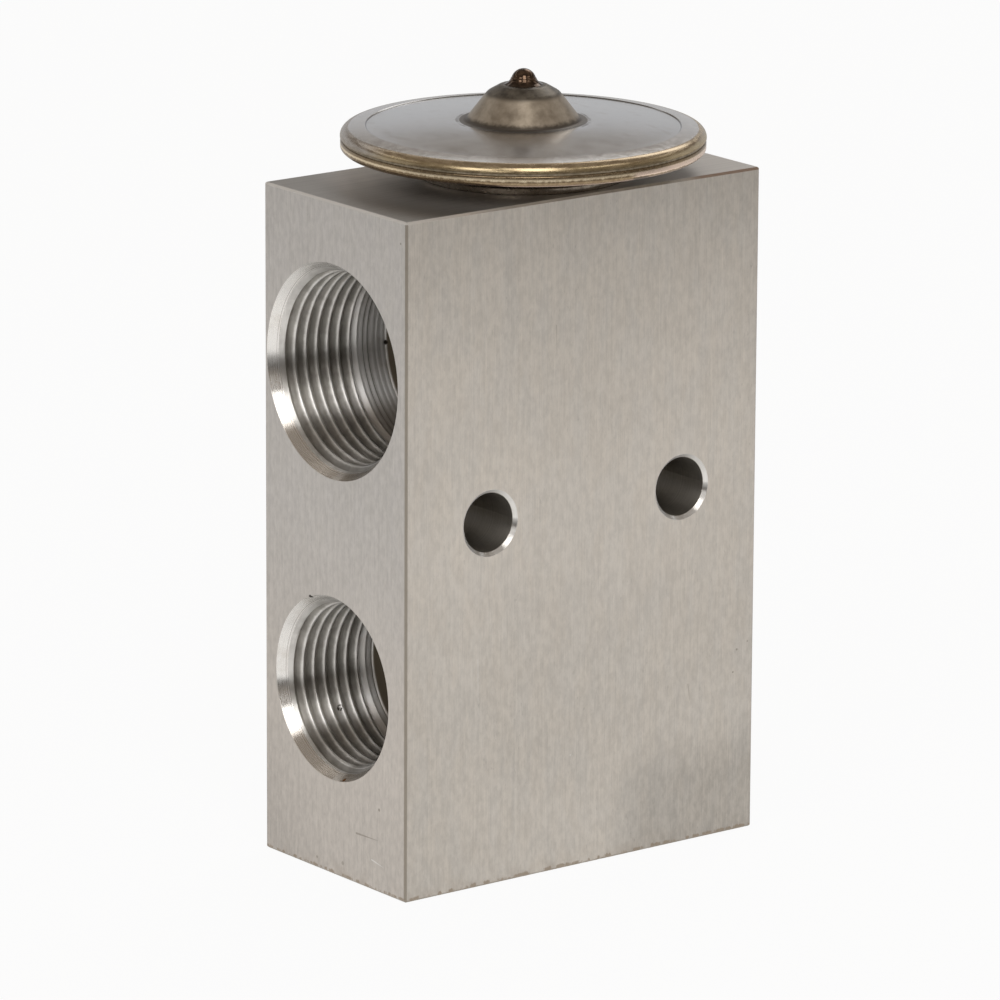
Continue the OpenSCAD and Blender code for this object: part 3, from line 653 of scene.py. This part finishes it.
def lower_cover_material():
    """Stainless sheet: brown rim with a painted highlight line and a painted highlight at its right, pink at
    its lower edge, and painted shade underneath.
    """
    made, g = material("tinted_steel_cover")
    place = g.place()
    r = from_head_axis(g, place)
    x, y, z = g.split(place)
    to_right = g.along(g.total(x, -HEAD_X), y, TO_RIGHT)
    smear = g.noise(place, 0.5, 4.0)
    spots = g.noise(place, 2.4, 3.0)
    tint = g.range(spots, 0.35, 0.65)
    # Painted shade on the underside
    painted_shade_underneath = g.mix(g.range(smear, 0.35, 0.65), (0.21, 0.18, 0.15, 1), (0.32, 0.28, 0.235, 1))
    brown = g.mix(tint, (0.25, 0.18, 0.11, 1), (0.35, 0.265, 0.165, 1))
    bright = g.mix(tint, (0.88, 0.72, 0.50, 1), (0.96, 0.82, 0.60, 1))
    pink = g.mix(tint, (0.50, 0.38, 0.31, 1), (0.66, 0.51, 0.43, 1))
    below = g.total(SEAM_Z, g.product(z, -1.0), g.range(spots, 0.3, 0.7, 0.04, -0.04))
    # Painted highlight: the light line along the lower rim
    rim = g.mix(g.band(below, 0.34, 0.58, 0.07), brown, bright)
    rim = g.mix(g.range(below, 1.0, 1.10), rim, pink)
    # Painted highlight at the right, where weld bumps would catch the light
    streak = g.product(g.range(to_right, 11.2, 12.4), g.band(below, 0.35, 0.85, 0.08))
    rim = g.mix(streak, rim, (0.88, 0.70, 0.58, 1))
    burnt = g.product(g.band(to_right, 11.6, 13.2, 0.2), g.range(below, 0.75, 0.95), 0.8)
    rim = g.mix(burnt, rim, (0.05, 0.035, 0.025, 1))
    rim = g.mix(g.range(below, 0.12, 0.02), rim, (0.20, 0.15, 0.09, 1))
    colour = g.mix(g.range(r, LOWER_R - 0.62, LOWER_R - 0.30), painted_shade_underneath, rim)
    surface(g, colour, g.range(spots, 0.3, 0.7, 0.18, 0.30), normal=g.bump(smear, 0.03, 0.4))
    return made


def plain_metal(name, dark, light, rough_low, rough_high, scale=1.5, height=0.01):
    """A metal with cloudy tone, uneven polish and a slight grain."""
    made, g = material(name)
    place = g.place()
    cloud = g.noise(place, scale, 4.0)
    grain = g.noise(place, scale * 6, 3.0)
    colour = g.mix(g.range(cloud, 0.3, 0.7), dark, light)
    surface(g, colour, g.range(grain, 0.3, 0.7, rough_low, rough_high),
            normal=g.bump(grain, height, 0.4))
    return made


def plug_material():
    """Heat-browned weld plug, darker at its foot."""
    made, g = material("heat_browned_steel")
    place = g.place()
    z = g.split(place)[2]
    cloud = g.noise(place, 1.6, 4.0)
    ripple = g.noise(place, 0.9, 2.0)
    colour = g.mix(g.range(cloud, 0.35, 0.65), (0.055, 0.036, 0.025, 1), (0.16, 0.105, 0.07, 1))
    low = g.range(z, DOME_TOP_Z + 0.55, DOME_TOP_Z + 0.1)
    colour = g.mix(g.product(low, 0.7), colour, (0.05, 0.035, 0.025, 1))
    surface(g, colour, g.range(cloud, 0.3, 0.7, 0.09, 0.20), normal=g.bump(ripple, 0.05, 0.5))
    return made


def rubber_material():
    made, g = material("black_rubber")
    place = g.place()
    grain = g.noise(place, 6.0, 4.0)
    colour = g.mix(g.range(grain, 0.3, 0.7), (0.012, 0.012, 0.013, 1), (0.028, 0.028, 0.030, 1))
    surface(g, colour, g.range(grain, 0.3, 0.7, 0.45, 0.62), metallic=0.0,
            normal=g.bump(grain, 0.01, 0.4))
    return made


def mesh_object(name, points, faces, finish, sharp=35.0):
    """A piece from points in millimetres, with smooth shading broken at sharp edges."""
    mesh = bpy.data.meshes.new(name)
    mesh.from_pydata([Vector(p) * MM for p in points], [], faces)
    mesh.validate()
    mesh.materials.append(finish)
    mesh.polygons.foreach_set("use_smooth", [True] * len(mesh.polygons))
    mesh.set_sharp_from_angle(angle=math.radians(sharp))
    piece = bpy.data.objects.new(name, mesh)
    bpy.context.scene.collection.objects.link(piece)
    return piece


def filleted(corners, steps=8):
    """A profile from (radius, height, fillet) corners, each rounded by an arc where it asks."""
    line = []
    count = len(corners)
    for i, (r, z, fillet) in enumerate(corners):
        here = Vector((r, z))
        if fillet <= 0:
            line.append(here)
            continue
        back = Vector(corners[i - 1][:2]) - here
        ahead = Vector(corners[(i + 1) % count][:2]) - here
        half = back.angle(ahead) / 2
        reach = min(fillet / math.tan(half), 0.49 * back.length, 0.49 * ahead.length)
        radius = reach * math.tan(half)
        centre = here + (back.normalized() + ahead.normalized()).normalized() * (radius / math.sin(half))
        start = here + back.normalized() * reach - centre
        end = here + ahead.normalized() * reach - centre
        sweep = start.angle_signed(end)
        for k in range(steps + 1):
            turn = -sweep * k / steps
            line.append(centre + Matrix.Rotation(turn, 2) @ start)
    return line


def lathe(name, profile, finish, segments=360):
    """A closed profile of (radius, height) turned about the head's axis."""
    points = []
    for i in range(segments):
        angle = 2 * math.pi * i / segments
        for r, z in profile:
            points.append((HEAD_X + r * math.cos(angle), r * math.sin(angle), z))
    count = len(profile)
    faces = []
    for i in range(segments):
        n = (i + 1) % segments
        for k in range(count):
            m = (k + 1) % count
            faces.append((i * count + k, n * count + k, n * count + m, i * count + m))
    return mesh_object(name, points, faces, finish)


def tube_faces(rings, sides):
    """The two ends of a tube and the faces between its rings of points."""
    faces = [tuple(range(sides)), tuple(rings * sides + k for k in reversed(range(sides)))]
    for i in range(rings):
        for k in range(sides):
            n = (k + 1) % sides
            faces.append((i * sides + k, (i + 1) * sides + k, (i + 1) * sides + n, i * sides + n))
    return faces


def smooth_path(start, end, count, curve):
    """Points from start to end whose height follows curve(0..1)."""
    return [(start[0] + (end[0] - start[0]) * i / count,
             start[1] + (end[1] - start[1]) * curve(i / count), 0) for i in range(1, count)]


def upper_cover(finish):
    dish_start = (RING_R - 0.2, DISH_Z)
    dish_end = (DOME_R + DOME_FILLET + 0.1, DOME_Z - 0.04)
    crown = smooth_path(dish_start, dish_end, 12, lambda t: 1 - (1 - t) ** 1.35)
    bend = [(HEAD_R - RIM_ROUND + RIM_ROUND * math.cos(math.radians(a)),
             COVER_Z + RIM_FOOT + RIM_ROUND * math.sin(math.radians(a)), 0) for a in range(0, 83, 4)]
    corners = [
        (CLAMP_R, COVER_Z, 0),
        (HEAD_R - 0.2, COVER_Z, 0),
    ] + bend + [
        (RING_R + 0.03, RING_Z, 0.05),
        (RING_R - 0.12, DISH_Z, 0.06),
    ] + crown + [
        (DOME_R + DOME_FILLET - 0.1, DOME_Z - 0.05, 0.4),
        (DOME_R + 0.22, DOME_Z - 0.02, 0.5),
        (SHOULDER_R + 0.1, DOME_Z + SHOULDER_H + 0.15, 1.5),
        (DOME_TOP_R + 0.3, DOME_TOP_Z, 1.0),
        (CHARGE_HOLE_R, DOME_TOP_Z + 0.02, 0),
        (CHARGE_HOLE_R, DOME_TOP_Z - SHEET, 0),
        (DOME_TOP_R - 0.3, DOME_TOP_Z - SHEET, 0.5),
        (SHOULDER_R - SHEET, DOME_Z + SHOULDER_H - 0.35, 0.5),
        (DOME_R - SHEET - 0.1, DOME_Z - SHEET + 0.5, 0.5),
        (DOME_R - 0.2, DOME_Z - SHEET, 0.3),
        (RING_R - 0.12, DISH_Z - SHEET, 0),
    ]
    piece = lathe("cover_upper_finished", filleted(corners), finish)
    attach(piece, "valve")
    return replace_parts(piece, "upper_cover")


def lower_cover(finish):
    under = SEAM_Z - LOWER_RIM_T
    corners = [
        (NECK_BORE_R, BLOCK_TOP - NECK_LENGTH, 0.1),
        (NECK_R, BLOCK_TOP - NECK_LENGTH, 0.5),
        (NECK_R, BLOCK_TOP, 0),
        (HUB_R, BLOCK_TOP, 0.1),
        (HUB_R, BLOCK_TOP + HUB_H, 0.3),
        (LOWER_R - 1.9, under - 0.1, 0.8),
        (LOWER_R - 0.4, under, 0.3),
        (LOWER_R, under + 0.3, 0.35),
        (LOWER_R, SEAM_Z, 0.16),
        (CLAMP_R, SEAM_Z, 0.3),
        (CLAMP_R - 1.2, SEAM_Z - 0.25, 0.5),
        (PAD_R + 1, HUB_FLOOR + BLOCK_TOP + 0.1, 0.4),
        (PAD_R + 0.5, HUB_FLOOR + BLOCK_TOP, 0.2),
        (NECK_BORE_R, HUB_FLOOR + BLOCK_TOP, 0.4),
    ]
    piece = lathe("cover_lower_finished", filleted(corners), finish)
    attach(piece, "valve")
    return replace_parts(piece, "lower_cover")


def charge_plug(finish):
    foot = DOME_TOP_R - 0.15
    z = DOME_TOP_Z + 0.02
    flare = foot - PLUG_R
    ball_z = DOME_TOP_Z + PLUG_LIFT - PLUG_R
    corners = [
        (0.001, DOME_TOP_Z - SHEET, 0),
        (CHARGE_HOLE_R - 0.02, DOME_TOP_Z - SHEET, 0.1),
        (CHARGE_HOLE_R - 0.02, z, 0),
        (foot, z, 0),
        (foot - flare * 0.48, z + flare * 0.28, 0.5),
        (foot - flare * 0.84, z + flare * 0.64, 0.5),
        (PLUG_R, z + flare, 0.5),
    ]
    ball = [(max(0.001, PLUG_R * math.cos(math.radians(t))),
             ball_z + PLUG_R * math.sin(math.radians(t)), 0) for t in range(18, 91, 4)]
    piece = lathe("plug_finished", filleted(corners + ball), finish, 96)
    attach(piece, "valve")
    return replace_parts(piece, "charge_plug")


def diaphragm(finish):
    """The corrugated sheet in the seam."""
    pad_edge = PAD_R + 0.6
    radii = [0.001] + [pad_edge + (CLAMP_R - pad_edge) * i / 32 for i in range(33)] + [LOWER_R - 0.15]

    def lift(r):
        t = min(1.0, max(0.0, (r - pad_edge) / (CLAMP_R - pad_edge)))
        return DIAPHRAGM_RISE * (1 - t) + DIAPHRAGM_WAVE * math.sin(math.pi * t)

    below = [(r, SEAM_Z + lift(r)) for r in radii]
    above = [(r, COVER_Z + lift(r)) for r in reversed(radii)]
    piece = lathe("diaphragm_sheet", below + above, finish)
    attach(piece, "valve")
    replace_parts(piece, "diaphragm")
    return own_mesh(piece)


def port_thread(mount_name, steps=120):
    """The helical ridge of an internal thread, cut back by the mouth's cone and lost in the inner step."""
    mount = mounts[mount_name]
    centre = Vector(mount["pos_m"]) / MM
    side = mount["axis"][0]
    wall = mount["dims"]["r_mm"]
    mouth = side * HALF_W
    phase = FIRST_CREST[mount_name.split("_")[0]]
    reach = FLANK_REACH
    offsets = [reach * k / 8 for k in range(-8, 9)] + [-CREST_REACH, -0.085, -0.03, 0.03, 0.085, CREST_REACH]
    first = THREAD_START - reach * THREAD_PITCH
    last = PORT_STEP_END - 0.1 * THREAD_PITCH
    count = int((last - first) / THREAD_PITCH * steps)
    points = []
    for i in range(count + 1):
        middle = first + i * THREAD_PITCH / steps
        angle = -side * 2 * math.pi * (middle - phase) / THREAD_PITCH
        for offset in sorted(offsets):
            share = min(1.0, (reach - abs(offset)) / (reach - CREST_REACH))
            crown = max(0.0, 1 - (offset / CREST_REACH) ** 2)
            depth = max(THREAD_START, middle + offset * THREAD_PITCH)
            height = (THREAD_HEIGHT - CREST_ROUND) * share + CREST_ROUND * crown
            height = min(height, (depth - THREAD_START) * MOUTH_ROOM / THREAD_START)
            r = wall + 0.02 - height - 0.02 * share
            points.append((mouth - side * depth, centre.y + r * math.cos(angle),
                           centre.z + r * math.sin(angle)))
    faces = tube_faces(count, len(offsets))
    piece = mesh_object("thread_" + mount_name, points, faces, thread_material(mount_name), 25.0)
    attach(piece, "valve")
    return piece


def give(node, finish):
    """Gives a frame node its finish in every material slot."""
    data = frame["nodes"][node].data
    if not data.materials:
        data.materials.append(finish)
    for i in range(len(data.materials)):
        data.materials[i] = finish


def half_spring(name, low_half, finish):
    """Half of the superheat spring: its lower or its upper turns."""
    coil_r, wire_r, turns = 3.6, 0.55, 5.0
    low, high = (v.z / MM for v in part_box("superheat_spring"))
    low, high = low + wire_r, high - wire_r
    steps, sides = 48, 16
    points = []
    first, last = (0, int(turns * steps / 2)) if low_half else (int(turns * steps / 2), int(turns * steps))
    for i in range(first, last + 1):
        t = i / steps
        if t < 1:
            z = low + 2 * wire_r * t
        elif t > turns - 1:
            z = high - 2 * wire_r * (turns - t)
        else:
            z = low + 2 * wire_r + (high - low - 4 * wire_r) * (t - 1) / (turns - 2)
        a = 2 * math.pi * t
        for k in range(sides):
            b = 2 * math.pi * k / sides
            r = coil_r + wire_r * math.cos(b)
            points.append((HEAD_X + r * math.cos(a), r * math.sin(a), z + wire_r * math.sin(b)))
    piece = mesh_object(name, points, tube_faces(last - first, sides), finish, 60.0)
    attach(piece, "valve")
    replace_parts(piece, "superheat_spring")
    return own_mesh(piece)


def camera():
    azimuth, elevation = math.radians(CAMERA_AZIMUTH), math.radians(CAMERA_ELEVATION)
    back = Vector((math.sin(azimuth) * math.cos(elevation), -math.cos(azimuth) * math.cos(elevation),
                   math.sin(elevation)))
    data = bpy.data.cameras.new("camera")
    data.lens = LENS
    data.sensor_width = SENSOR
    data.clip_start, data.clip_end = 0.05, 20
    made = bpy.data.objects.new("camera", data)
    bpy.context.scene.collection.objects.link(made)
    turn = (-back).to_track_quat("-Z", "Y").to_matrix() @ Matrix.Rotation(math.radians(CAMERA_ROLL), 3, "Z")
    made.matrix_world = Matrix.Translation((Vector(CAMERA_AIM) + back * CAMERA_DISTANCE) * MM) @ turn.to_4x4()
    bpy.context.scene.camera = made


def floor():
    """A pale bench that the camera sees nearly white. In reflections it glows as a painted pool of light that
    darkens away from the object, towards the viewer.
    """
    made, g = material("bench")
    place = g.place()
    x, y, _ = g.split(place)
    path = g.node("LightPath").outputs
    away = g.from_axis(place, (0, 0, 0), "Z")
    behind = g.along(x, y, BACKDROP)
    near = g.range(away, FLOOR_BRIGHT, FLOOR_DARK, FLOOR_NEAR, FLOOR_FAR)
    back = g.range(away, FLOOR_BRIGHT, FLOOR_DARK, FLOOR_BEHIND, FLOOR_BACK)
    lit = g.blend(g.range(behind, -60.0, 60.0), near, back)
    diffuse = g.node("BsdfDiffuse", {"Color": (0.86, 0.86, 0.86, 1)}).outputs[0]
    seen = g.node("Emission", {"Color": (1, 1, 1, 1), "Strength": 1.0}).outputs[0]
    mirrored = g.node("Emission", {"Color": (1, 0.985, 0.96, 1), "Strength": lit}).outputs[0]
    for_eye = g.node("MixShader", {0: FLOOR_WHITE, 1: diffuse, 2: seen}).outputs[0]
    for_metal = g.node("MixShader", {0: FLOOR_METAL, 1: diffuse, 2: mirrored}).outputs[0]
    shader = g.node("MixShader", {0: path["Is Glossy Ray"], 1: diffuse, 2: for_metal}).outputs[0]
    shader = g.node("MixShader", {0: path["Is Camera Ray"], 1: shader, 2: for_eye}).outputs[0]
    g.node("OutputMaterial", {"Surface": shader})
    mesh = bpy.data.meshes.new("bench")
    far = FLOOR_REACH
    mesh.from_pydata([(-far, -far, 0), (far, -far, 0), (far, far, 0), (-far, far, 0)], [], [(0, 1, 2, 3)])
    mesh.materials.append(made)
    piece = bpy.data.objects.new("bench", mesh)
    bpy.context.scene.collection.objects.link(piece)
    piece.location.z = -FLOOR_GAP


def world():
    """A studio: white for the eye. In reflections it is pale behind the object, with a paler strip
    higher up, and dim brown elsewhere."""
    made = bpy.data.worlds.new("studio")
    made.use_nodes = True
    bpy.context.scene.world = made
    g = Graph(made.node_tree)
    direction = g.node("TexCoord").outputs["Generated"]
    x, y, z = g.split(direction)
    path = g.node("LightPath").outputs
    behind = g.along(x, y, BACKDROP)
    sweep = g.product(g.range(behind, -0.30, 0.20), g.range(z, SWEEP_TOP + 0.06, SWEEP_TOP - 0.02))
    room = g.mix(g.range(z, 0.0, 0.16), ROOM_LOW, ROOM_MIDDLE)
    room = g.mix(g.range(z, 0.45, 0.9), room, ROOM_TOP)
    colour = g.mix(sweep, room, ROOM_BEHIND)
    strip = g.product(g.range(behind, -0.15, 0.2), g.band(z, STRIP_LOW, STRIP_HIGH, 0.02))
    colour = g.mix(strip, colour, ROOM_STRIP)
    white = g.mix(path["Is Camera Ray"], colour, (1, 1, 1, 1))
    shade = g.node("Background", {"Color": white, "Strength": 1.0})
    g.node("OutputWorld", {"Surface": shade.outputs[0]})


def softbox(name, azimuth, elevation, width, height, radiance, colour=(1, 1, 1)):
    """A rectangular light that looks at the object and fills width by height degrees of its view.

    Azimuth 0 is in front of the block, 90 to its right.
    """
    a, e = math.radians(azimuth), math.radians(elevation)
    out = Vector((math.sin(a) * math.cos(e), -math.cos(a) * math.cos(e), math.sin(e)))
    data = bpy.data.lights.new(name, "AREA")
    data.shape = "RECTANGLE"
    data.size = 2 * LAMP_DISTANCE * math.tan(math.radians(width / 2)) * math.cos(e)
    data.size_y = 2 * LAMP_DISTANCE * math.tan(math.radians(height / 2))
    data.energy = radiance * math.pi * data.size * data.size_y
    data.color = colour
    made = bpy.data.objects.new(name, data)
    bpy.context.scene.collection.objects.link(made)
    made.location = Vector(LAMP_TARGET) + out * LAMP_DISTANCE
    made.rotation_mode = "QUATERNION"
    made.rotation_quaternion = (-out).to_track_quat("-Z", "Y")
    made.visible_camera = False
    return made


block = block_material()
steel = plain_metal("spring_steel", (0.42, 0.41, 0.39, 1), (0.56, 0.55, 0.53, 1), 0.22, 0.34)
ground = plain_metal("ground_steel", (0.62, 0.62, 0.62, 1), (0.72, 0.72, 0.73, 1), 0.08, 0.16)
brass = plain_metal("turned_brass", (0.55, 0.42, 0.20, 1), (0.70, 0.56, 0.30, 1), 0.2, 0.34)
rod = plain_metal("turned_aluminium", (0.60, 0.60, 0.60, 1), (0.72, 0.72, 0.71, 1), 0.24, 0.36)
edge = plain_metal("seam_steel", (0.24, 0.20, 0.14, 1), (0.42, 0.35, 0.26, 1), 0.35, 0.5)
rubber = rubber_material()

give("valve_body", block)
for name in ("rod_retainer", "damper_spring"):
    give(name, steel)
for name in ("push_pin", "valve_ball"):
    give(name, ground)
for name in ("diaphragm_pad", "ball_carrier", "adjusting_screw"):
    give(name, brass)
give("sensing_rod", rod)
for name in ("head_seal", "rod_seal", "screw_seal"):
    give(name, rubber)

upper_cover(upper_cover_material())
lower_cover(lower_cover_material())
charge_plug(plug_material())
diaphragm(edge)
half_spring("spring_lower", True, steel)
half_spring("spring_upper", False, steel)
for name in ("vapour_port_left", "vapour_port_right", "liquid_inlet_port", "liquid_outlet_port"):
    port_thread(name)

camera()
floor()
world()
softbox("front_left", -29, 42, 28, 34, 3.4, (1.0, 0.99, 0.97))
softbox("low_patch", -52, 12, 7, 9, 3.0)
softbox("right", 22, 41, 34, 8, 1.5)
softbox("left", -69, 30, 22, 24, 2.6, (0.99, 0.99, 1.0))
softbox("behind_right", 120, 40, 30, 24, 1.6)
bpy.context.scene.view_settings.view_transform = "Standard"
